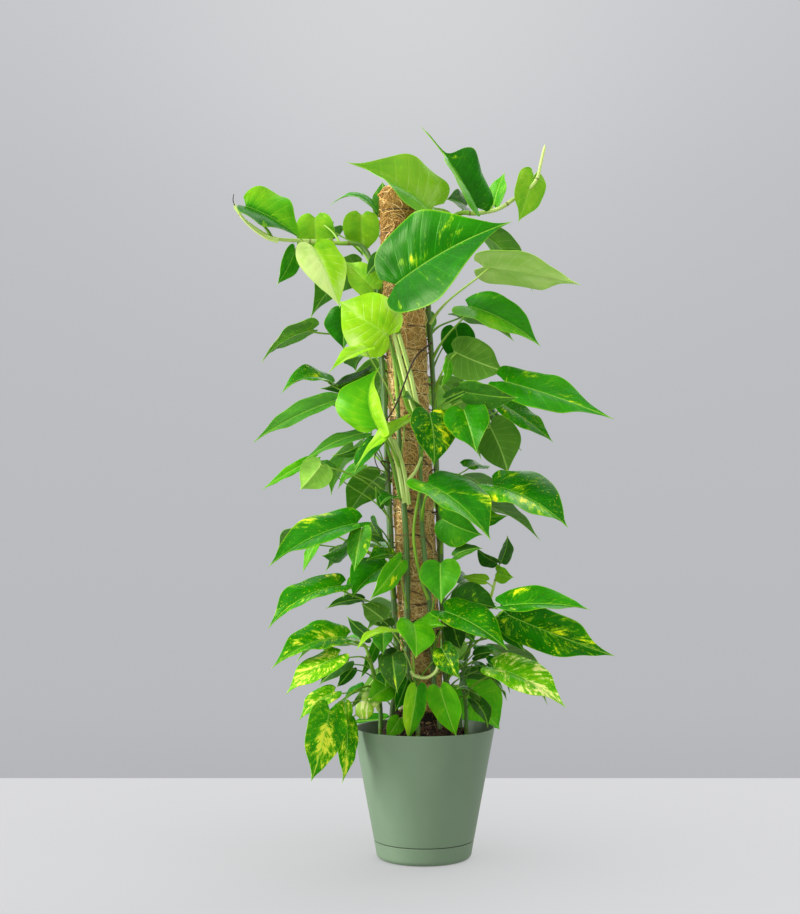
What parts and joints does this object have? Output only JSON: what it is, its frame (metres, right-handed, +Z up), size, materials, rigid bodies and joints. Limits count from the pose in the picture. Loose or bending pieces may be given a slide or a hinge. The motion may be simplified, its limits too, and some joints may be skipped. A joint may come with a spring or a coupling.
{
  "type": "golden pothos house plant on a coir pole in a pot",
  "caption": "Climbing golden pothos with heart-shaped variegated leaves on a leaning coir pole, rooted in a tapered plastic pot that nests in a flush round saucer.",
  "frame": {"origin": "middle of the saucer's underside, on the surface that the plant stands on", "axes": "+Z up along the pot's axis, -Y towards the front of the plant, +X to the right as seen from the front; the coir pole leans towards -X"},
  "size_m": [0.4977, 0.3842, 0.9724],
  "materials": {
    "sage_plastic": "matte sage-green moulded plastic",
    "dark_soil": "moist dark potting mix with coir bits",
    "coir_fibre": "matted golden-brown coconut fibre bound with thin cord",
    "pothos_green": "glossy waxy leaf, green with yellow variegation"
  },
  "bodies": {
    "root": {"saucer": "sage_plastic", "pot": "sage_plastic", "soil": "dark_soil", "coir_pole": "coir_fibre", "vine_01": "pothos_green", "vine_02": "pothos_green", "vine_03": "pothos_green", "vine_04": "pothos_green", "vine_05": "pothos_green", "vine_06": "pothos_green", "vine_07": "pothos_green", "vine_08": "pothos_green", "vine_09": "pothos_green", "vine_10": "pothos_green", "vine_11": "pothos_green", "vine_12": "pothos_green"}
  },
  "joints": []
}
